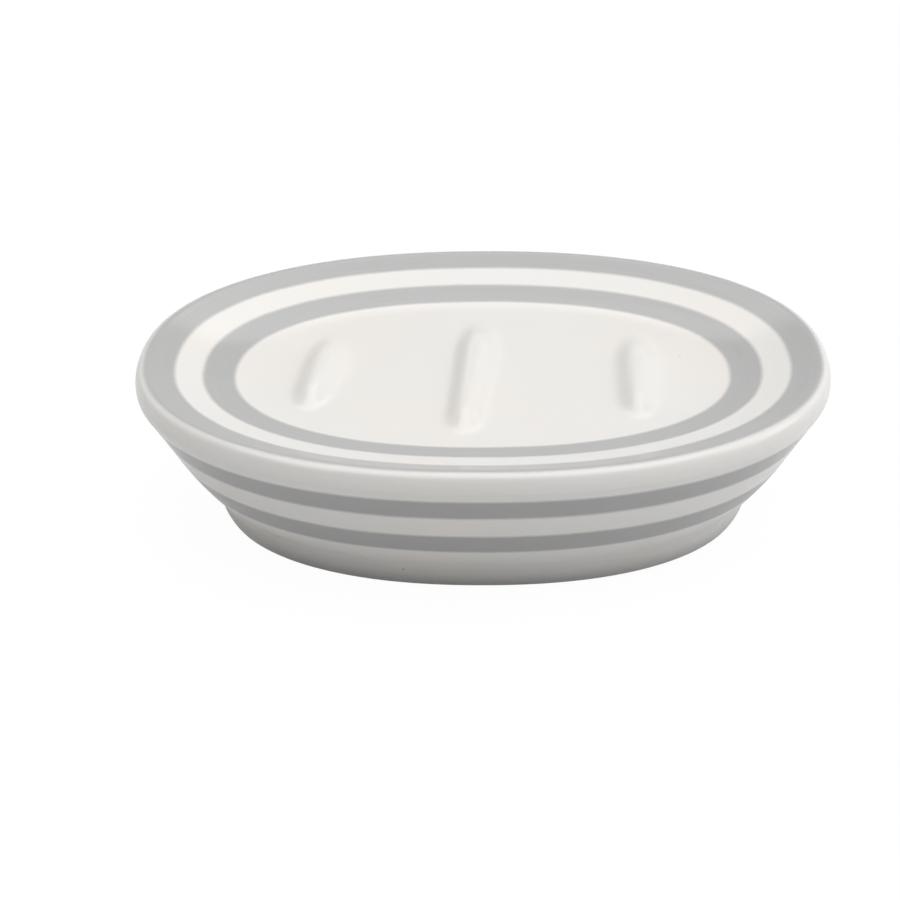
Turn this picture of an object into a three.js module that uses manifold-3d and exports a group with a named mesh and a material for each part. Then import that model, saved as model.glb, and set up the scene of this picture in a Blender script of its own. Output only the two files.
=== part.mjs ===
// Oval ceramic soap dish with three drainage ribs and four colour bands.
// Millimetres, +Z up, X along the dish, origin on the table under the middle of the dish.
import * as THREE from "three";
import { mergeVertices } from "three/addons/utils/BufferGeometryUtils.js";
import Module from "manifold-3d";

// Plan of the dish at the widest line of the rim.
const dishLength = 135;
const dishWidth = 103.8;
const planExponent = 2.2;
const segmentsAround = 48;

// Outside of the dish. An inset is measured inwards from the widest line of the rim.
const rimWidestHeight = 29.0;
const rimLowerRadius = 2.5;
const wallSlopeAtRim = 0.588;
const wallFootHeight = 17.7;
const wallFootInset = 5.98;
const wallSlopeAtFoot = 0.535;
const creaseHeight = 5.5;
const creaseInset = 14.63;
const footInset = 16.5;
const footSlopeAtTable = 0.72;
const footEdgeRadius = 0.5;
const footRingWidth = 3.4;

// Top of the rim and the shallow tray. A drop is measured down from the crest of the rim.
const rimCrestInset = 1.95;
const rimCrestRise = 3.34;
const lipWidth = 1.1;
const trayDepth = 5.37;
const traySlope = 0.32;
const trayFloorInset = 18.34;
const trayFloorBlend = 7.35;
const evenOvalInset = 28;

// Hollow underside left by the cast wall.
const castWallRun = 5.2;
const trayThickness = 4.8;
const hollowCornerReach = 9;

// Colour bands, each let into a shallow groove of the body.
const bandDepth = 0.5;
const upperBandBelowRim = 2.21;
const upperBandWidth = 4.96;
const wallBandGap = 5.4;
const lowerBandWidth = 5.17;
const rimBandOutsideCrest = 0.35;
const rimBandInsideCrest = 5.675;
const trayBandGap = 5.325;
const trayBandWidth = 6.15;
const rimBandSwell = 0.425;
const rimBandSwellReach = 2.5;

// Drainage ribs across the tray floor, clear of the tray band all round.
// The row stands a little to one side and each rib leans a few degrees off Y, fanning out to the front.
const ribWidth = 8.6;
const ribFlatTop = 1;
const ribRise = 2;
const ribRoot = 1.2;
const ribEndTaper = 12;
const ribToBandGap = 13;
const ribEndGap = 5;
const ribRowShift = -0.95;
const middleRibShift = -1.25;
const ribLeanDegrees = 2.65;
const ribFanDegrees = 1.4;
const ribSegments = 28;

// Finish.
const glazeWhite = 0xf1efec;
const bandGrey = 0xb9bbbb;
const glazeRoughness = 0.18;

const halfLength = dishLength / 2;
const halfWidth = dishWidth / 2;
const rimTangentAngle = Math.atan(wallSlopeAtRim);
const wallTopHeight = rimWidestHeight - rimLowerRadius * Math.sin(rimTangentAngle);
const wallTopInset = rimLowerRadius * (1 - Math.cos(rimTangentAngle));
const footBottomInset = footInset + footEdgeRadius;
const hollowMouthInset = footBottomInset + footRingWidth;
const rimCrestHeight = rimWidestHeight + rimCrestRise;
const lipInnerInset = rimCrestInset + lipWidth;
const trayFloorHeight = rimCrestHeight - trayDepth;
const evenOvalRadius = halfWidth - evenOvalInset;
const upperBandTop = rimWidestHeight - upperBandBelowRim;
const upperBandBottom = upperBandTop - upperBandWidth;
const lowerBandTop = upperBandBottom - wallBandGap;
const lowerBandBottom = lowerBandTop - lowerBandWidth;
const rimBandStart = rimCrestInset - rimBandOutsideCrest;
const rimBandEnd = rimCrestInset + rimBandInsideCrest;
const trayBandStart = rimBandEnd + trayBandGap;
const trayBandEnd = trayBandStart + trayBandWidth;

// Parabola through two points of the outside whose slope changes evenly on the way up.
function evenSlope(height, low, high) {
  const span = high.height - low.height;
  const share = (height - low.height) / span;
  const startSlope = low.slope;
  const endSlope = 2 * (low.inset - high.inset) / span - startSlope;
  return low.inset - span * (startSlope * share + (endSlope - startSlope) * share * share / 2);
}

// Inset of the outside at a height between the table and the widest line.
function outsideInset(height) {
  const table = { height: 0, inset: footInset, slope: footSlopeAtTable };
  const creaseTop = { height: creaseHeight, inset: creaseInset };
  const wallTop = { height: wallTopHeight, inset: wallTopInset };
  if (height < creaseHeight) {
    const edge = Math.max(footEdgeRadius - height, 0);
    const rounding = footEdgeRadius - Math.sqrt(footEdgeRadius ** 2 - edge ** 2);
    return evenSlope(height, table, creaseTop) + rounding;
  }
  if (height < wallFootHeight) {
    const span = wallFootHeight - creaseHeight;
    const slope = 2 * (creaseInset - wallFootInset) / span - wallSlopeAtFoot;
    const crease = { height: creaseHeight, inset: creaseInset, slope };
    return evenSlope(height, crease, { height: wallFootHeight, inset: wallFootInset });
  }
  if (height < wallTopHeight) {
    const wallFoot = { height: wallFootHeight, inset: wallFootInset, slope: wallSlopeAtFoot };
    return evenSlope(height, wallFoot, wallTop);
  }
  const drop = rimWidestHeight - height;
  return rimLowerRadius - Math.sqrt(rimLowerRadius ** 2 - drop ** 2);
}

// Height of the tray well inside the lip: an even slope that runs out into the floor.
function bowlHeight(inset) {
  const uphill = trayFloorInset - inset;
  return trayFloorHeight + traySlope / 2 * (uphill + Math.hypot(uphill, trayFloorBlend));
}

// Height of the top surface from the widest line of the rim to the middle of the tray.
function topHeight(inset) {
  if (inset < rimCrestInset) {
    const share = 1 - inset / rimCrestInset;
    return rimWidestHeight + (rimCrestHeight - rimWidestHeight) * Math.sqrt(1 - share * share);
  }
  if (inset < lipInnerInset) {
    const share = (inset - rimCrestInset) / (lipInnerInset - rimCrestInset);
    const eased = share * share;
    return rimCrestHeight + (bowlHeight(lipInnerInset) - rimCrestHeight) * eased;
  }
  return bowlHeight(inset);
}

// Profile point: distance from the axis across the dish, and height.
function profilePoint(inset, height) {
  return new THREE.Vector2(halfWidth - inset, height);
}

// Evenly spaced values from one end to the other, both included.
function steps(from, to, count) {
  return Array.from({ length: count + 1 }, (_, i) => from + (to - from) * i / count);
}

function outsidePoints(fromHeight, toHeight, count) {
  return steps(fromHeight, toHeight, count).map((height) => profilePoint(outsideInset(height), height));
}

function topPoints(fromInset, toInset, count) {
  return steps(fromInset, toInset, count).map((inset) => profilePoint(inset, topHeight(inset)));
}

// Outer rounding of the rim, in even turns of its quarter ellipse.
function rimPoints(fromInset, toInset, count) {
  const turn = (inset) => Math.acos(1 - inset / rimCrestInset);
  return steps(turn(fromInset), turn(toInset), count).map((angle) => {
    const inset = rimCrestInset * (1 - Math.cos(angle));
    return profilePoint(inset, topHeight(inset));
  });
}

// The same line pushed into the clay by the depth of a band.
function grooveFloor(surface) {
  return surface.map((point, i) => {
    const before = surface[Math.max(i - 1, 0)];
    const after = surface[Math.min(i + 1, surface.length - 1)];
    const along = after.clone().sub(before).normalize();
    return new THREE.Vector2(point.x - along.y * bandDepth, point.y + along.x * bandDepth);
  });
}

// Visible line of each band, in the order of the body outline.
const bandLines = {
  lower_wall_band: outsidePoints(lowerBandBottom, lowerBandTop, 3),
  upper_wall_band: outsidePoints(upperBandBottom, upperBandTop, 3),
  rim_band: [
    ...rimPoints(rimBandStart, rimCrestInset, 2),
    ...topPoints(rimCrestInset, lipInnerInset, 2).slice(1),
    ...topPoints(lipInnerInset, rimBandEnd, 3).slice(1),
  ],
  tray_band: topPoints(trayBandStart, trayBandEnd, 3),
};

// Part of the body outline that runs through a groove, from edge to edge.
function grooveOutline(line) {
  return [line[0], ...grooveFloor(line), line[line.length - 1]];
}

// Underside from the axis out to the cast wall and down to the foot ring.
function undersidePoints() {
  const hollowInset = (height) => outsideInset(height) + castWallRun;
  const ceilingLevel = trayFloorHeight - trayThickness;
  const cornerInset = hollowInset(ceilingLevel);
  const ceiling = steps(halfWidth, cornerInset + hollowCornerReach, 5);
  const ceilingLine = ceiling.map((inset) => profilePoint(inset, bowlHeight(inset) - trayThickness));
  const wall = steps(ceilingLevel - hollowCornerReach, creaseHeight, 3);
  const wallLine = wall.map((height) => profilePoint(hollowInset(height), height));
  const corner = new THREE.QuadraticBezierCurve(
    ceilingLine[ceilingLine.length - 1],
    profilePoint(cornerInset, ceilingLevel),
    wallLine[0],
  );
  const mouthTop = profilePoint(hollowMouthInset, footEdgeRadius);
  const mouthEdge = profilePoint(hollowMouthInset - footEdgeRadius, 0);
  return [...ceilingLine, ...corner.getPoints(5).slice(1), ...wallLine.slice(1), mouthTop, mouthEdge];
}

// Whole outline of the body, from the underside axis round to the tray axis.
function bodyOutline() {
  return [
    ...undersidePoints(),
    ...outsidePoints(0, footEdgeRadius, 3),
    ...outsidePoints(footEdgeRadius, creaseHeight, 2).slice(1),
    ...outsidePoints(creaseHeight, lowerBandBottom, 3).slice(1, -1),
    ...grooveOutline(bandLines.lower_wall_band),
    ...outsidePoints(lowerBandTop, upperBandBottom, 2).slice(1, -1),
    ...grooveOutline(bandLines.upper_wall_band),
    ...outsidePoints(upperBandTop, rimWidestHeight, 3).slice(1),
    ...rimPoints(0, rimBandStart, 4).slice(1, -1),
    ...grooveOutline(bandLines.rim_band),
    ...topPoints(rimBandEnd, trayBandStart, 2).slice(1, -1),
    ...grooveOutline(bandLines.tray_band),
    ...topPoints(trayBandEnd, halfWidth, 7).slice(1),
  ];
}

// How far the inner edge of the rim band is drawn out towards the ends of the dish.
function endSwell(inset, height) {
  if (height < rimWidestHeight) {
    return 0;
  }
  const offset = (inset - rimBandEnd) / rimBandSwellReach;
  return rimBandSwell * Math.exp(-offset * offset);
}

function signedPower(value) {
  return Math.sign(value) * Math.abs(value) ** (2 / planExponent);
}

// Half the length of the ring that is a given distance from the axis across the dish.
function ringHalfLength(radius) {
  if (radius < evenOvalRadius) {
    return radius * (evenOvalRadius + halfLength - halfWidth) / evenOvalRadius;
  }
  return radius + halfLength - halfWidth;
}

// Turn an outline round the axis, then stretch every ring to the oval plan.
function ovalLathe(outline) {
  const geometry = new THREE.LatheGeometry(outline, segmentsAround);
  const position = geometry.attributes.position;
  const columns = position.count / outline.length - 1;
  for (let i = 0; i < position.count; i++) {
    const { x: radius, y: height } = outline[i % outline.length];
    const angle = Math.floor(i / outline.length) * 2 * Math.PI / columns;
    const swell = endSwell(halfWidth - radius, height);
    const alongX = (ringHalfLength(radius) - swell) * signedPower(Math.cos(angle));
    const alongY = (radius + swell) * signedPower(Math.sin(angle));
    position.setXYZ(i, alongX, alongY, height);
  }
  return welded(geometry);
}

// Join equal corners and drop the empty triangles at the axis.
function welded(geometry) {
  geometry.deleteAttribute("normal");
  geometry.deleteAttribute("uv");
  const joined = mergeVertices(geometry, 1e-4);
  const index = joined.index.array;
  const kept = [];
  for (let i = 0; i < index.length; i += 3) {
    const [a, b, c] = index.slice(i, i + 3);
    if (a !== b && b !== c && c !== a) {
      kept.push(a, b, c);
    }
  }
  joined.setIndex(kept);
  return joined;
}

// Cross-section of a rib: a soft ridge that runs out level, and a root below the tray floor.
function ribOutline() {
  const root = [new THREE.Vector2(0, -ribRoot), new THREE.Vector2(ribWidth / 2, -ribRoot)];
  const flank = steps(ribWidth / 2, ribFlatTop / 2, 7).map((away) => {
    const fall = Math.PI * (away - ribFlatTop / 2) / (ribWidth - ribFlatTop);
    return new THREE.Vector2(away, ribRise * Math.cos(fall) ** 2);
  });
  return [...root, ...flank, new THREE.Vector2(0, ribRise)];
}

// One rib: the cross-section turned into a mound with long ends, drawn out along Y and then leant.
// It stops short of the tray band by the same gap wherever it stands.
function ribGeometry(place, pitch) {
  const floorHalfWidth = halfWidth - trayBandEnd;
  const share = Math.abs(place) * pitch / ringHalfLength(floorHalfWidth);
  const floorReach = floorHalfWidth * (1 - share ** planExponent) ** (1 / planExponent);
  const drawnOut = floorReach - ribEndGap - ribEndTaper;
  const outline = ribOutline();
  const geometry = new THREE.LatheGeometry(outline, ribSegments);
  const position = geometry.attributes.position;
  for (let i = 0; i < position.count; i++) {
    const { x: radius, y: height } = outline[i % outline.length];
    const angle = (Math.floor(i / outline.length) + 0.5) * 2 * Math.PI / ribSegments;
    const endReach = radius * ribEndTaper / (ribWidth / 2);
    const alongY = endReach * Math.sin(angle) + drawnOut * Math.sign(Math.sin(angle));
    position.setXYZ(i, radius * Math.cos(angle), alongY, height);
  }
  const lean = THREE.MathUtils.degToRad(ribLeanDegrees - place * ribFanDegrees);
  geometry.rotateZ(-lean);
  const shift = ribRowShift + (place === 0 ? middleRibShift : 0);
  geometry.translate(place * pitch + shift, 0, bowlHeight(halfWidth));
  return welded(geometry);
}

const wasm = await Module();
wasm.setup();

function toSolid(geometry) {
  const vertProperties = new Float32Array(geometry.attributes.position.array);
  const triVerts = new Uint32Array(geometry.index.array);
  return new wasm.Manifold(new wasm.Mesh({ numProp: 3, vertProperties, triVerts }));
}

function toGeometry(solid) {
  const mesh = solid.getMesh();
  const geometry = new THREE.BufferGeometry();
  geometry.setAttribute("position", new THREE.BufferAttribute(new Float32Array(mesh.vertProperties), 3));
  geometry.setIndex(Array.from(mesh.triVerts));
  return geometry;
}

// Body with its three ribs grown out of the tray floor.
function bodyGeometry() {
  const pitch = ringHalfLength(halfWidth - trayBandEnd) - ribToBandGap - ribWidth / 2;
  const ribs = [-1, 0, 1].map((place) => ribGeometry(place, pitch));
  const body = ribs.reduce((sum, rib) => sum.add(toSolid(rib)), toSolid(ovalLathe(bodyOutline())));
  return toGeometry(body);
}

// Swap the two sides of every triangle.
function turnedOver(geometry) {
  const index = geometry.index.array;
  for (let i = 0; i < index.length; i += 3) {
    [index[i + 1], index[i + 2]] = [index[i + 2], index[i + 1]];
  }
  return geometry;
}

// A band fills its groove and lies level with the glaze around it.
// Its outline follows the groove the same way as the body does, so the two share every facet.
function bandGeometry(line) {
  const visible = [...line].reverse().slice(1);
  return turnedOver(ovalLathe([...grooveOutline(line), ...visible]));
}

function piece(name, geometry, colour) {
  geometry.computeVertexNormals();
  const material = new THREE.MeshStandardMaterial({ color: colour, roughness: glazeRoughness, metalness: 0 });
  const mesh = new THREE.Mesh(geometry, material);
  mesh.name = name;
  return mesh;
}

const dish = new THREE.Group();
dish.name = "soap_dish";
dish.add(piece("dish_body", bodyGeometry(), glazeWhite));
for (const [name, line] of Object.entries(bandLines)) {
  dish.add(piece(name, bandGeometry(line), bandGrey));
}

export default dish;
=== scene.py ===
# Oval soap dish dressed for rendering: one glazed body and four grey colour bands.
# Named sizes are in millimetres in the frame of the solids. Meshes are made in metres.
import math

import bpy
import numpy as np
from mathutils import Matrix, Vector


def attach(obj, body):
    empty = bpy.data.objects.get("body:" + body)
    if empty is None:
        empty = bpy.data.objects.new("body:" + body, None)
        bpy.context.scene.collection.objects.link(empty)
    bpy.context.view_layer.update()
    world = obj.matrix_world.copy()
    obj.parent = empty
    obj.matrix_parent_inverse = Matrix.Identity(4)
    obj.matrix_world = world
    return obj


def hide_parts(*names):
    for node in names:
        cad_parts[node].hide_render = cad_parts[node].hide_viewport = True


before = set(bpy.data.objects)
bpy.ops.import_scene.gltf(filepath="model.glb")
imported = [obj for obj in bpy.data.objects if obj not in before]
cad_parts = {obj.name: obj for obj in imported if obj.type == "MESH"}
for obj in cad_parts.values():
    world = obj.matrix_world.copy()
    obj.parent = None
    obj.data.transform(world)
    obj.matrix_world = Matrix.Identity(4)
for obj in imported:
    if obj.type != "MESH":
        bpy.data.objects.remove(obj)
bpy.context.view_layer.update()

# One millimetre in metres.
METRES = 0.001

# Plan of the dish at the widest line of the rim.
dish_length = 135.0
dish_width = 103.8
plan_exponent = 2.2

# Outside of the dish. An inset is measured inwards from the widest line of the rim.
rim_widest_height = 29.0
rim_lower_radius = 2.5
wall_slope_at_rim = 0.588
wall_foot_height = 17.7
wall_foot_inset = 5.98
wall_slope_at_foot = 0.535
crease_height = 5.5
crease_inset = 14.63
crease_softness = 1.2
crease_reach = 3.0
foot_inset = 16.5
foot_slope_at_table = 0.72
foot_edge_radius = 0.5
foot_ring_width = 3.4

# Top of the rim and the shallow tray. Its depth is measured down from the crest of the rim.
rim_crest_inset = 1.95
rim_crest_rise = 3.34
rim_squareness = 2.5
lip_width = 1.1
lip_softness = 0.6
lip_reach = 1.1
tray_depth = 5.37
tray_slope = 0.32
tray_floor_inset = 18.34
tray_floor_blend = 7.35
even_oval_inset = 28.0

# Hollow underside left by the cast wall.
cast_wall_run = 5.2
tray_thickness = 4.8
hollow_corner_reach = 9.0

# Colour bands, each let into a shallow groove of the body. The underside counts as far from any.
band_depth = 0.5
upper_band_below_rim = 2.21
upper_band_width = 4.96
wall_band_gap = 5.4
lower_band_width = 5.17
rim_band_outside_crest = 0.35
rim_band_inside_crest = 5.675
tray_band_gap = 5.325
tray_band_width = 6.15
rim_band_swell = 0.425
rim_band_swell_reach = 2.5
far_from_bands = 50.0

# Drainage ribs across the tray floor. They end bluntly at the front, run out slowly at the back
# and melt into the tray on their right side, more so towards the back.
rib_width = 8.6
rib_flat_top = 1.0
rib_rise = 2.0
rib_right_melt = 0.5
rib_front_taper = 10.0
rib_back_taper = 17.0
rib_back_trim = 2.0
left_rib_trim = 3.8
rib_to_band_gap = 13.0
rib_end_gap = 5.0
rib_row_shift = -0.95
middle_rib_shift = -1.25
rib_lean_degrees = 2.65
rib_fan_degrees = 1.4

# Each rib: its place in the row, its own shift along the row and its own trim at the front.
ribs = ((-1, 0, left_rib_trim), (0, middle_rib_shift, 0), (1, 0, 0))

# Fineness of the meshes: points round each ring, and steps or points along each stretch of the profile.
columns = 288
foot_edge_steps = 8
foot_steps = 6
wall_steps = 12
rim_top_steps = 14
crest_steps = 9
rim_inside_steps = 16
tray_steps = 14
floor_steps = 84
ceiling_points = 25
hollow_corner_points = 15
hollow_wall_points = 13
mouth_points = 7
softening_points = 21
sharp_edge_degrees = 40

# Colours of the finish, and how far the edge of a band bleeds into the white and strays.
glaze_white_warm = (0.83, 0.80, 0.76, 1)
glaze_white_cool = (0.81, 0.80, 0.78, 1)
band_grey_thin = (0.47, 0.465, 0.46, 1)
band_grey_thick = (0.44, 0.44, 0.44, 1)
# Painted shade: the darker grey of the bands on the wall, which faces down away from the light.
shaded_wall_band_grey = (0.395, 0.395, 0.395, 1)
speck_brown = (0.30, 0.27, 0.23, 1)
bare_clay = (0.72, 0.66, 0.57, 1)
# Painted shade: the grey that darkens the foot towards the table.
painted_foot_shade_grey = (0.52, 0.51, 0.50, 1)
edge_bleed = 0.62
edge_wander = 0.06
edge_grain = 0.05

# Unevenness of the finish as noise: scale, detail and spread of its levels. Scales are per metre,
# but the strokes are laid out by the turn round the dish and by the distance to the edge of a band.
wander_noise = (90, 2, 0.3)
grain_noise = (900, 3, 0.3)
pooling_noise = (28, 2, 0.2)
stroke_noise = (2.6, 3, 0.25)
gloss_noise = (60, 2, 0.2)

# Specks: cells per metre, edge of a speck in its cell, draw above which a cell has one, and strength.
speck_scale = 75
speck_edge = (0.022, 0.012)
speck_draw = 0.86
speck_strength = 0.55

# Gloss and waves of the glaze, the height up to which painted shade darkens the foot towards the table,
# and the heights at which the glaze is wiped off the foot.
gloss_roughness = (0.12, 0.2)
clay_roughness = 0.75
glaze_ior = 1.52
wave_scale = 110
wave_detail = 2
wave_height = 0.04
foot_shade_height = 6.0
wiped_edge = (0.45, 0.2)

# Studio, in metres: the floor as light bounces off it, as the eye sees it and as the glaze mirrors it.
# Its drop under the foot is in millimetres.
floor_half_size = 20.0
floor_drop = 0.1
floor_bounce = (0.76, 0.76, 0.76, 1)
floor_shading = (0.045, 0.045, 0.045, 1)
floor_glow = 0.965
floor_mirror_shading = (0.56, 0.56, 0.56, 1)
floor_mirror_glow = 0.3

# Light of the room, as pairs of the sine of the height and the level there on its bright side.
room_levels = ((0.0, 0.75), (0.45, 0.6), (0.65, 0.26), (1.0, 0.26))
room_bright_side = (0.6, 0.8, 0.0)
room_dark_share = 0.05

# Softboxes: where each stands in metres, its width and depth, and its power.
softboxes = {
    "key_lamp": ((0.0, -0.26, 1.06), (1.8, 1.1), 12.6),
    "right_lamp": ((0.95, 0.0, 0.55), (0.7, 0.7), 2.5),
    "back_lamp": ((0.0, 0.66, 0.9), (0.75, 0.75), 2.1),
}

# Camera of the photograph: where it aims, and from how far and at which angles.
aim_point = (-6.517, 0.0, 10.064)
camera_distance = 400.0
camera_elevation = 28.02
camera_azimuth = 1.6
camera_roll = -0.812
camera_lens = 79.65
camera_sensor = 36.0

half_length = dish_length / 2
half_width = dish_width / 2
ring_angles = np.arange(columns) * 2 * math.pi / columns
rim_tangent_angle = math.atan(wall_slope_at_rim)
wall_top_height = rim_widest_height - rim_lower_radius * math.sin(rim_tangent_angle)
wall_top_inset = rim_lower_radius * (1 - math.cos(rim_tangent_angle))
foot_bottom_inset = foot_inset + foot_edge_radius
hollow_mouth_inset = foot_bottom_inset + foot_ring_width
rim_crest_height = rim_widest_height + rim_crest_rise
lip_inner_inset = rim_crest_inset + lip_width
tray_floor_height = rim_crest_height - tray_depth
even_oval_radius = half_width - even_oval_inset
upper_band_top = rim_widest_height - upper_band_below_rim
upper_band_bottom = upper_band_top - upper_band_width
lower_band_top = upper_band_bottom - wall_band_gap
lower_band_bottom = lower_band_top - lower_band_width
rim_band_start = rim_crest_inset - rim_band_outside_crest
rim_band_end = rim_crest_inset + rim_band_inside_crest
tray_band_start = rim_band_end + tray_band_gap
tray_band_end = tray_band_start + tray_band_width


def even_slope(height, low, high_height, high_inset):
    """Parabola from a low point with a given slope up to a high point."""
    low_height, low_inset, start_slope = low
    span = high_height - low_height
    share = (height - low_height) / span
    end_slope = 2 * (low_inset - high_inset) / span - start_slope
    return low_inset - span * (start_slope * share + (end_slope - start_slope) * share**2 / 2)


def sharp_outside_inset(height):
    """Inset of the outside between the table and the widest line, with a sharp crease."""
    if height < crease_height:
        edge = max(foot_edge_radius - height, 0)
        rounding = foot_edge_radius - math.sqrt(foot_edge_radius**2 - edge**2)
        table = (0, foot_inset, foot_slope_at_table)
        return even_slope(height, table, crease_height, crease_inset) + rounding
    if height < wall_foot_height:
        span = wall_foot_height - crease_height
        slope = 2 * (crease_inset - wall_foot_inset) / span - wall_slope_at_foot
        crease = (crease_height, crease_inset, slope)
        return even_slope(height, crease, wall_foot_height, wall_foot_inset)
    if height < wall_top_height:
        wall_foot = (wall_foot_height, wall_foot_inset, wall_slope_at_foot)
        return even_slope(height, wall_foot, wall_top_height, wall_top_inset)
    drop = rim_widest_height - height
    return rim_lower_radius - math.sqrt(max(rim_lower_radius**2 - drop**2, 0))


def softened(line, at, corner, softness, reach):
    """Value of a line with one corner rounded off, as glaze rounds it, by averaging near the corner."""
    window = softness * max(1 - abs(at - corner) / reach, 0)
    if window == 0:
        return line(at)
    steps = np.linspace(-1, 1, softening_points)
    return float(np.mean([line(at + window * step) for step in steps]))


def outside_inset(height):
    """Inset of the glazed outside."""
    return softened(sharp_outside_inset, height, crease_height, crease_softness, crease_reach)


def bowl_height(inset):
    """Height of the tray well inside the lip: an even slope that runs out into the floor."""
    uphill = tray_floor_inset - inset
    return tray_floor_height + tray_slope / 2 * (uphill + math.hypot(uphill, tray_floor_blend))


def sharp_top_height(inset):
    """Height of the top from the widest line of the rim to the middle of the tray."""
    if inset < rim_crest_inset:
        share = 1 - inset / rim_crest_inset
        return rim_widest_height + rim_crest_rise * (1 - share**rim_squareness) ** (1 / rim_squareness)
    if inset < lip_inner_inset:
        share = (inset - rim_crest_inset) / lip_width
        return rim_crest_height + (bowl_height(lip_inner_inset) - rim_crest_height) * share * share
    return bowl_height(inset)


def top_height(inset):
    """Height of the glazed top."""
    return softened(sharp_top_height, inset, lip_inner_inset, lip_softness, lip_reach)


def eased_steps(start, end, count):
    """Values from one end to the other that lie close together at both ends."""
    return start + (end - start) * (1 - np.cos(np.linspace(0, math.pi, count + 1))) / 2


def outside_line(low, high, count):
    """Points (inset, height) up the outside."""
    return [(outside_inset(height), height) for height in eased_steps(low, high, count)]


def top_line(outer, inner, count):
    """Points (inset, height) across the top, inwards."""
    return [(inset, top_height(inset)) for inset in eased_steps(outer, inner, count)]


def rim_line(outer, inner, count):
    """Points over the outer rounding of the rim, spaced as on a quarter ellipse."""
    turns = [math.acos(1 - inset / rim_crest_inset) for inset in (outer, inner)]
    insets = [rim_crest_inset * (1 - math.cos(turn)) for turn in eased_steps(*turns, count)]
    return [(inset, top_height(inset)) for inset in insets]


def underside_line():
    """Points from the axis out under the tray, down the cast wall and round the mouth of the hollow."""
    ceiling_level = tray_floor_height - tray_thickness
    corner_inset = outside_inset(ceiling_level) + cast_wall_run
    ceiling_insets = np.linspace(half_width, corner_inset + hollow_corner_reach, ceiling_points)
    ceiling = [(inset, bowl_height(inset) - tray_thickness) for inset in ceiling_insets]
    wall_heights = np.linspace(ceiling_level - hollow_corner_reach, crease_height, hollow_wall_points)
    wall = [(outside_inset(height) + cast_wall_run, height) for height in wall_heights]
    ends = np.array([ceiling[-1], (corner_inset, ceiling_level), wall[0]])
    corner = []
    for share in np.linspace(0, 1, hollow_corner_points)[1:-1]:
        weights = np.array([(1 - share) ** 2, 2 * share * (1 - share), share**2])
        corner.append(tuple(weights @ ends))
    mouth = []
    for turn in np.linspace(0, math.pi / 2, mouth_points):
        inset = hollow_mouth_inset - foot_edge_radius * (1 - math.cos(turn))
        mouth.append((inset, foot_edge_radius * (1 - math.sin(turn))))
    return ceiling + corner + wall + mouth


def run_along(line):
    """Distance along a line from its first point to each point."""
    steps = np.hypot(*np.diff(np.array(line), axis=0).T)
    return np.concatenate([[0], np.cumsum(steps)])


def edge_distances(line):
    """How far along a line each point is from the nearer end."""
    run = run_along(line)
    return np.minimum(run, run[-1] - run)


def groove_floor(line):
    """The same line pushed into the clay by the depth of a band."""
    points = np.array(line)
    along = np.gradient(points, axis=0)
    along /= np.linalg.norm(along, axis=1)[:, None]
    inwards = np.stack([along[:, 1], -along[:, 0]], axis=1)
    return [tuple(point) for point in points + band_depth * inwards]


band_lines = {
    "lower_wall_band": outside_line(lower_band_bottom, lower_band_top, wall_steps),
    "upper_wall_band": outside_line(upper_band_bottom, upper_band_top, wall_steps),
    "rim_band": rim_line(rim_band_start, rim_crest_inset, crest_steps)
    + top_line(rim_crest_inset, rim_band_end, rim_inside_steps)[1:],
    "tray_band": top_line(tray_band_start, tray_band_end, tray_steps),
}

crease_low = crease_height - crease_reach / 2
crease_high = crease_height + crease_reach / 2
white_lines = {
    "foot": outside_line(0, foot_edge_radius, foot_edge_steps)
    + outside_line(foot_edge_radius, crease_low, foot_steps)[1:]
    + outside_line(crease_low, crease_high, wall_steps)[1:]
    + outside_line(crease_high, lower_band_bottom, wall_steps)[1:],
    "wall": outside_line(lower_band_top, upper_band_bottom, wall_steps),
    "rim": outside_line(upper_band_top, rim_widest_height, wall_steps)
    + rim_line(0, rim_band_start, rim_top_steps)[1:],
    "ring": top_line(rim_band_end, tray_band_start, tray_steps),
    "floor": top_line(tray_band_end, half_width, floor_steps),
}


def end_swell(inset, height):
    """How far the inner edge of the rim band moves in at the ends of the dish and out along its sides."""
    offset = (inset - rim_band_end) / rim_band_swell_reach
    swell = rim_band_swell * np.exp(-offset * offset)
    return np.where(height < rim_widest_height, 0, swell)


def painted_back(outline):
    """How far short of the inner edge of its groove the rim band is painted, most at the ends."""
    inset, height = np.array(outline).T
    return np.outer(end_swell(inset, height), np.cos(ring_angles) ** 2)


def signed_power(value):
    """Sine or cosine of the angle round the dish, bent to the plan of the oval."""
    return np.sign(value) * np.abs(value) ** (2 / plan_exponent)


def ring_half_length(radius):
    """Half the length of the ring that is a given distance from the axis across the dish."""
    stretch = half_length - half_width
    return np.where(
        radius < even_oval_radius,
        radius * (even_oval_radius + stretch) / even_oval_radius,
        radius + stretch,
    )


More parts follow.
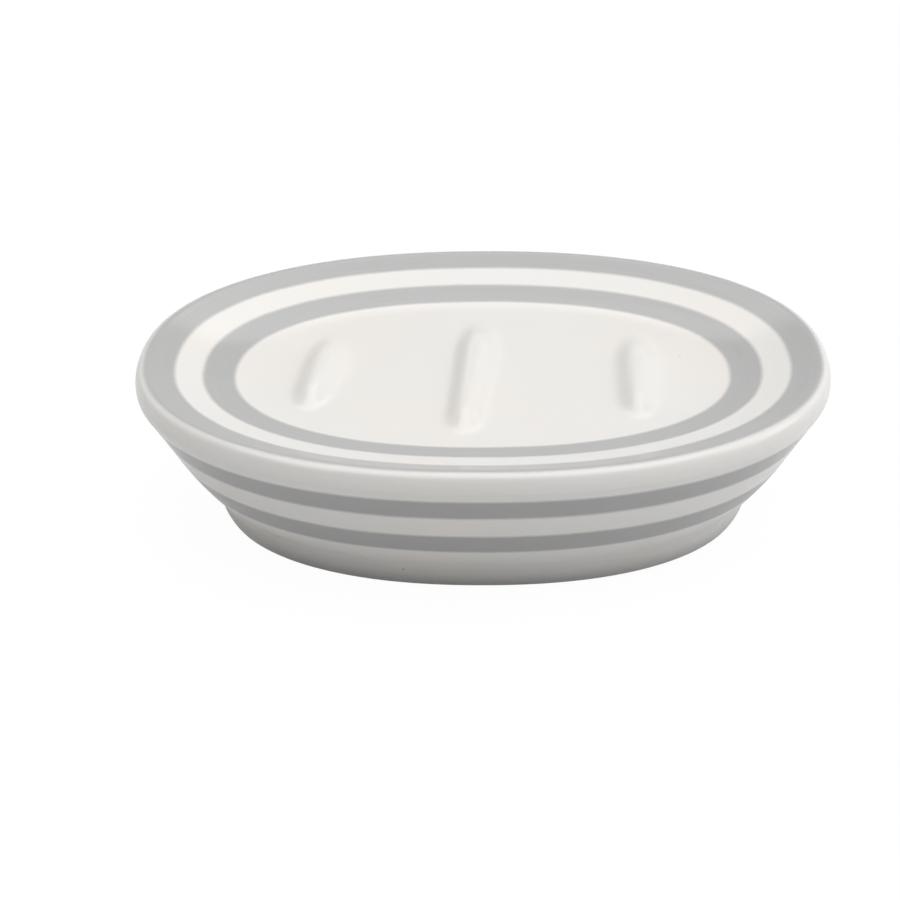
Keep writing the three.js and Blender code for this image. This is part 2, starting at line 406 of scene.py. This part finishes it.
def rib_heights(x, y):
    """Rise of the ribs over the tray floor: soft ridges across the dish with tapered ends."""
    floor_half_width = half_width - tray_band_end
    pitch = ring_half_length(floor_half_width) - rib_to_band_gap - rib_width / 2
    flat_share = rib_flat_top / rib_width
    rise = np.zeros_like(x)
    for place, own_shift, own_trim in ribs:
        share = abs(place) * pitch / ring_half_length(floor_half_width)
        floor_reach = floor_half_width * (1 - share**plan_exponent) ** (1 / plan_exponent)
        front_straight = floor_reach - rib_end_gap - own_trim - rib_front_taper
        back_straight = floor_reach - rib_end_gap - rib_back_trim - rib_back_taper
        lean = math.radians(rib_lean_degrees - place * rib_fan_degrees)
        from_centre = x - place * pitch - rib_row_shift - own_shift
        across = from_centre * math.cos(lean) - y * math.sin(lean)
        along = from_centre * math.sin(lean) + y * math.cos(lean)
        past_front = np.maximum(-along - front_straight, 0) / rib_front_taper
        past_back = np.maximum(along - back_straight, 0) / rib_back_taper
        towards_back = np.clip((along + front_straight) / (front_straight + back_straight), 0, 1)
        reach = rib_width / 2 * np.where(across > 0, 1 + rib_right_melt * towards_back, 1)
        away = np.hypot(across / reach, past_front + past_back)
        down_flank = np.clip((away - flat_share) / (1 - flat_share), 0, 1)
        rise += rib_rise * np.cos(down_flank * math.pi / 2) ** 2
    return rise


def oval_rings(outline):
    """Grid of points in metres: every outline point turned round the axis on its own oval ring."""
    inset, height = np.array(outline).T
    radius = half_width - inset
    swell = end_swell(inset, height)
    x = np.outer(ring_half_length(radius) - swell, signed_power(np.cos(ring_angles)))
    y = np.outer(radius + swell, signed_power(np.sin(ring_angles)))
    z = np.repeat(height[:, None], columns, axis=1)
    on_tray = (height > tray_floor_height) & (inset > tray_band_end)
    z[on_tray] += rib_heights(x[on_tray], y[on_tray])
    return np.stack([x, y, z], axis=2) * METRES


def ring_quads(first, second):
    """Faces between two rings, given the numbers of their first points."""
    now = np.arange(columns)
    after = (now + 1) % columns
    return np.stack([first + now, first + after, second + after, second + now], axis=1).tolist()


def add_piece(name, points, faces, distances, node, material):
    """Mesh object with its distance to the nearest colour edge, set to ride in place of a solid."""
    mesh = bpy.data.meshes.new(name)
    mesh.from_pydata(points.tolist(), [], faces)
    layer = mesh.attributes.new("band_edge", "FLOAT", "POINT")
    layer.data.foreach_set("value", np.asarray(distances, dtype=np.float32))
    mesh.shade_smooth()
    mesh.set_sharp_from_angle(angle=math.radians(sharp_edge_degrees))
    mesh.materials.append(material)
    piece = bpy.data.objects.new(name, mesh)
    bpy.context.scene.collection.objects.link(piece)
    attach(piece, "root")
    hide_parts(node)
    return piece


def add_body(material):
    """Body of the dish: one closed skin from the axis under the tray round to the axis on top."""
    under = underside_line()
    foot = white_lines["foot"]
    foot_run = run_along(foot)
    outline = under + foot
    distances = [-far_from_bands] * len(under) + list(foot_run - foot_run[-1])
    for band, white in zip(band_lines, ("wall", "rim", "ring", "floor")):
        groove = groove_floor(band_lines[band])
        line = white_lines[white]
        from_band = run_along(line) if white == "floor" else edge_distances(line)
        outline += groove + line
        distances += [band_depth] * len(groove) + list(-from_band)
    grid = oval_rings(outline)
    last = len(outline) - 1
    points = np.concatenate([grid[0, :1], grid[1:last].reshape(-1, 3), grid[last, :1]])
    rings = last - 1
    top_point = 1 + rings * columns
    faces = []
    for column in range(columns):
        faces.append((0, 1 + (column + 1) % columns, 1 + column))
    for ring in range(rings - 1):
        faces += ring_quads(1 + ring * columns, 1 + (ring + 1) * columns)
    inner = 1 + (rings - 1) * columns
    for column in range(columns):
        faces.append((inner + column, inner + (column + 1) % columns, top_point))
    painted = np.array(distances)[:, None] - painted_back(outline)
    spread = np.concatenate([painted[0, :1], painted[1:last].ravel(), painted[last, :1]])
    return add_piece("glazed_body", points, faces, spread, "dish_body", material)


def add_band(node, line, material):
    """A colour band: a thin closed ring that fills its groove level with the glaze."""
    groove = groove_floor(line)
    outline = list(line) + groove[::-1]
    distances = np.concatenate([edge_distances(line), np.full(len(groove), band_depth)])
    points = oval_rings(outline).reshape(-1, 3)
    faces = []
    for ring in range(len(outline)):
        faces += ring_quads(ring * columns, (ring + 1) % len(outline) * columns)
    spread = (distances[:, None] - painted_back(outline)).ravel()
    return add_piece("glazed_" + node, points, faces, spread, node, material)


class NodeSheet:
    """Small helper that adds and links the nodes of one material."""

    def __init__(self, name):
        self.material = bpy.data.materials.new(name)
        self.material.use_nodes = True
        self.nodes = self.material.node_tree.nodes
        self.links = self.material.node_tree.links
        self.shader = self.nodes["Principled BSDF"]

    def feed(self, socket, value):
        """Link an output to a socket, or set the socket to a plain value."""
        if isinstance(value, bpy.types.NodeSocket):
            self.links.new(value, socket)
        else:
            socket.default_value = value

    def maths(self, operation, first, second):
        """Result of one operation on two values."""
        node = self.nodes.new("ShaderNodeMath")
        node.operation = operation
        self.feed(node.inputs[0], first)
        self.feed(node.inputs[1], second)
        return node.outputs["Value"]

    def ramp(self, value, start, end, low=0.0, high=1.0):
        """Smooth step of a value from one level to another."""
        node = self.nodes.new("ShaderNodeMapRange")
        node.interpolation_type = "SMOOTHSTEP"
        self.feed(node.inputs["Value"], value)
        node.inputs["From Min"].default_value = start
        node.inputs["From Max"].default_value = end
        node.inputs["To Min"].default_value = low
        node.inputs["To Max"].default_value = high
        return node.outputs["Result"]

    def mix(self, share, first, second):
        """Blend of two colours."""
        node = self.nodes.new("ShaderNodeMix")
        node.data_type = "RGBA"
        self.feed(node.inputs["Factor"], share)
        self.feed(node.inputs["A"], first)
        self.feed(node.inputs["B"], second)
        return node.outputs["Result"]

    def noise(self, place, scale, detail):
        """Cloudy noise about the level of one half."""
        node = self.nodes.new("ShaderNodeTexNoise")
        self.feed(node.inputs["Vector"], place)
        node.inputs["Scale"].default_value = scale
        node.inputs["Detail"].default_value = detail
        return node.outputs["Fac"]

    def patches(self, place, texture, low=0.0, high=1.0):
        """Noise stretched from one level to another, given its scale, detail and spread."""
        scale, detail, spread = texture
        return self.ramp(self.noise(place, scale, detail), 0.5 - spread, 0.5 + spread, low, high)

    def cells(self, place, scale):
        """Voronoi cells: distance to the middle of a cell, and a random colour for each cell."""
        node = self.nodes.new("ShaderNodeTexVoronoi")
        self.feed(node.inputs["Vector"], place)
        node.inputs["Scale"].default_value = scale
        return node.outputs["Distance"], node.outputs["Color"]


def glaze_material(name):
    """Gloss white glaze over grey underglaze colour, which shows where band_edge is positive."""
    sheet = NodeSheet(name)
    place = sheet.nodes.new("ShaderNodeTexCoord").outputs["Object"]
    split = sheet.nodes.new("ShaderNodeSeparateXYZ")
    sheet.links.new(place, split.inputs["Vector"])
    height = split.outputs["Z"]
    edge = sheet.nodes.new("ShaderNodeAttribute")
    edge.attribute_name = "band_edge"

    # The brushed edge of a band wanders a little and bleeds into the white.
    wander = sheet.patches(place, wander_noise, -edge_wander, edge_wander)
    grain = sheet.patches(place, grain_noise, -edge_grain, edge_grain)
    brushed = sheet.maths("ADD", edge.outputs["Fac"], sheet.maths("ADD", wander, grain))
    band_share = sheet.ramp(brushed, -edge_bleed, edge_bleed)

    # The white pools warmer and cooler. The grey lies in strokes along the band, and is darker on the
    # wall bands as painted shade.
    pooling = sheet.patches(place, pooling_noise)
    white = sheet.mix(pooling, glaze_white_warm, glaze_white_cool)
    turn = sheet.maths("ARCTAN2", split.outputs["Y"], split.outputs["X"])
    stroke_place = sheet.nodes.new("ShaderNodeCombineXYZ")
    sheet.links.new(turn, stroke_place.inputs["X"])
    sheet.links.new(edge.outputs["Fac"], stroke_place.inputs["Y"])
    sheet.links.new(height, stroke_place.inputs["Z"])
    strokes = sheet.patches(stroke_place.outputs["Vector"], stroke_noise)
    brushed_grey = sheet.mix(strokes, band_grey_thin, band_grey_thick)
    tray_level = tray_floor_height * METRES
    on_shaded_wall = sheet.ramp(height, tray_level + METRES, tray_level)
    grey = sheet.mix(on_shaded_wall, brushed_grey, shaded_wall_band_grey)
    painted = sheet.mix(band_share, white, grey)

    # A few iron specks fired through the glaze.
    speck_distance, speck_pick = sheet.cells(place, speck_scale)
    pick = sheet.nodes.new("ShaderNodeSeparateColor")
    sheet.links.new(speck_pick, pick.inputs["Color"])
    is_speck = sheet.ramp(speck_distance, *speck_edge)
    chosen = sheet.maths("GREATER_THAN", pick.outputs["Red"], speck_draw)
    specks = sheet.maths("MULTIPLY", sheet.maths("MULTIPLY", is_speck, chosen), speck_strength)
    specked = sheet.mix(specks, painted, speck_brown)

    # The foot is darkened towards the table as painted shade, and the glaze is wiped off where the foot
    # touches the table.
    wiped = sheet.ramp(height, *(edge_height * METRES for edge_height in wiped_edge))
    foot_shade_share = sheet.ramp(height, foot_shade_height * METRES, 0.0)
    foot_shaded = sheet.mix(foot_shade_share, specked, painted_foot_shade_grey)
    sheet.links.new(sheet.mix(wiped, foot_shaded, bare_clay), sheet.shader.inputs["Base Color"])
    glossy = sheet.patches(place, gloss_noise, *gloss_roughness)
    dull = sheet.maths("MULTIPLY", wiped, clay_roughness)
    roughness = sheet.maths("MAXIMUM", glossy, dull)
    sheet.links.new(roughness, sheet.shader.inputs["Roughness"])
    sheet.shader.inputs["IOR"].default_value = glaze_ior

    # The fired surface is slightly wavy.
    bump = sheet.nodes.new("ShaderNodeBump")
    bump.inputs["Strength"].default_value = 1.0
    bump.inputs["Distance"].default_value = wave_height * METRES
    sheet.links.new(sheet.noise(place, wave_scale, wave_detail), bump.inputs["Height"])
    sheet.links.new(bump.outputs["Normal"], sheet.shader.inputs["Normal"])
    return sheet.material


def lit_floor(nodes, links, glow, shading):
    """Floor surface that glows evenly and is darkened a little where the dish keeps the light off."""
    shade = nodes.new("ShaderNodeBsdfDiffuse")
    shade.inputs["Color"].default_value = shading
    shine = nodes.new("ShaderNodeEmission")
    shine.inputs["Strength"].default_value = glow
    both = nodes.new("ShaderNodeAddShader")
    links.new(shade.outputs["BSDF"], both.inputs[0])
    links.new(shine.outputs["Emission"], both.inputs[1])
    return both.outputs["Shader"]


def mix_shaders(nodes, links, share, first, second):
    """First surface where the share is 0, second where it is 1."""
    node = nodes.new("ShaderNodeMixShader")
    links.new(share, node.inputs["Fac"])
    links.new(first, node.inputs[1])
    links.new(second, node.inputs[2])
    return node.outputs["Shader"]


def add_floor():
    """Wide pale floor just under the foot. The eye sees it white with a faint soft shadow.

    The glaze mirrors a white floor with a deeper shadow, and soft light bounces off a greyer one.
    """
    level = -floor_drop * METRES
    mesh = bpy.data.meshes.new("floor")
    ends = ((-1, -1), (1, -1), (1, 1), (-1, 1))
    corners = [(floor_half_size * x, floor_half_size * y, level) for x, y in ends]
    mesh.from_pydata(corners, [], [(0, 1, 2, 3)])
    floor = bpy.data.objects.new("floor", mesh)
    bpy.context.scene.collection.objects.link(floor)
    material = bpy.data.materials.new("floor_pale")
    material.use_nodes = True
    nodes = material.node_tree.nodes
    links = material.node_tree.links
    nodes.remove(nodes["Principled BSDF"])
    path = nodes.new("ShaderNodeLightPath")
    bounce = nodes.new("ShaderNodeBsdfDiffuse")
    bounce.inputs["Color"].default_value = floor_bounce
    mirrored = lit_floor(nodes, links, floor_mirror_glow, floor_mirror_shading)
    seen = lit_floor(nodes, links, floor_glow, floor_shading)
    soft = mix_shaders(nodes, links, path.outputs["Is Glossy Ray"], bounce.outputs["BSDF"], mirrored)
    to_eye = nodes.new("ShaderNodeMath")
    to_eye.operation = "MAXIMUM"
    links.new(path.outputs["Is Camera Ray"], to_eye.inputs[0])
    links.new(path.outputs["Is Transmission Ray"], to_eye.inputs[1])
    surface = mix_shaders(nodes, links, to_eye.outputs["Value"], soft, seen)
    links.new(surface, nodes["Material Output"].inputs["Surface"])
    mesh.materials.append(material)


def add_world():
    """Dim room all round the dish, brighter low down and towards one side."""
    world = bpy.data.worlds.new("studio")
    bpy.context.scene.world = world
    world.use_nodes = True
    nodes = world.node_tree.nodes
    links = world.node_tree.links
    way = nodes.new("ShaderNodeTexCoord").outputs["Generated"]
    split = nodes.new("ShaderNodeSeparateXYZ")
    links.new(way, split.inputs["Vector"])
    ramp = nodes.new("ShaderNodeValToRGB")
    stops = ramp.color_ramp.elements
    while len(stops) < len(room_levels):
        stops.new(1.0)
    for stop, (sine, level) in zip(stops, room_levels):
        stop.position = sine
        stop.color = (level, level, level, 1)
    links.new(split.outputs["Z"], ramp.inputs["Fac"])
    links.new(ramp.outputs["Color"], nodes["Background"].inputs["Color"])
    facing = nodes.new("ShaderNodeVectorMath")
    facing.operation = "DOT_PRODUCT"
    facing.inputs[1].default_value = room_bright_side
    links.new(way, facing.inputs[0])
    share = nodes.new("ShaderNodeMapRange")
    share.inputs["From Min"].default_value = -1.0
    share.inputs["To Min"].default_value = room_dark_share
    links.new(facing.outputs["Value"], share.inputs["Value"])
    links.new(share.outputs["Result"], nodes["Background"].inputs["Strength"])


def add_softbox(name, location, sides, power):
    """Flat lamp that faces the dish."""
    lamp = bpy.data.lights.new(name, "AREA")
    lamp.shape = "RECTANGLE"
    lamp.size, lamp.size_y = sides
    lamp.energy = power
    softbox = bpy.data.objects.new(name, lamp)
    softbox.location = location
    softbox.rotation_mode = "QUATERNION"
    softbox.rotation_quaternion = (-Vector(location)).to_track_quat("-Z", "Y")
    bpy.context.scene.collection.objects.link(softbox)


def add_camera():
    """Camera that sees the dish as the photograph does."""
    elevation = math.radians(camera_elevation)
    azimuth = math.radians(camera_azimuth)
    roll = math.radians(camera_roll)
    back = Vector((
        math.sin(azimuth) * math.cos(elevation),
        -math.cos(azimuth) * math.cos(elevation),
        math.sin(elevation),
    ))
    right = Vector((math.cos(azimuth), math.sin(azimuth), 0))
    up = back.cross(right)
    rolled_right = right * math.cos(roll) + up * math.sin(roll)
    rolled_up = up * math.cos(roll) - right * math.sin(roll)
    turn = Matrix((rolled_right, rolled_up, back)).transposed()
    data = bpy.data.cameras.new("camera")
    data.sensor_width = camera_sensor
    data.lens = camera_lens
    camera = bpy.data.objects.new("camera", data)
    camera.rotation_mode = "QUATERNION"
    camera.rotation_quaternion = turn.to_quaternion()
    camera.location = (Vector(aim_point) + back * camera_distance) * METRES
    bpy.context.scene.collection.objects.link(camera)
    bpy.context.scene.camera = camera


add_body(glaze_material("white_glaze"))
band_glaze = glaze_material("grey_band_glaze")
for node, line in band_lines.items():
    add_band(node, line, band_glaze)
add_floor()
add_world()
for name, (location, sides, power) in softboxes.items():
    add_softbox(name, location, sides, power)
add_camera()

bpy.context.scene.view_settings.view_transform = "Standard"
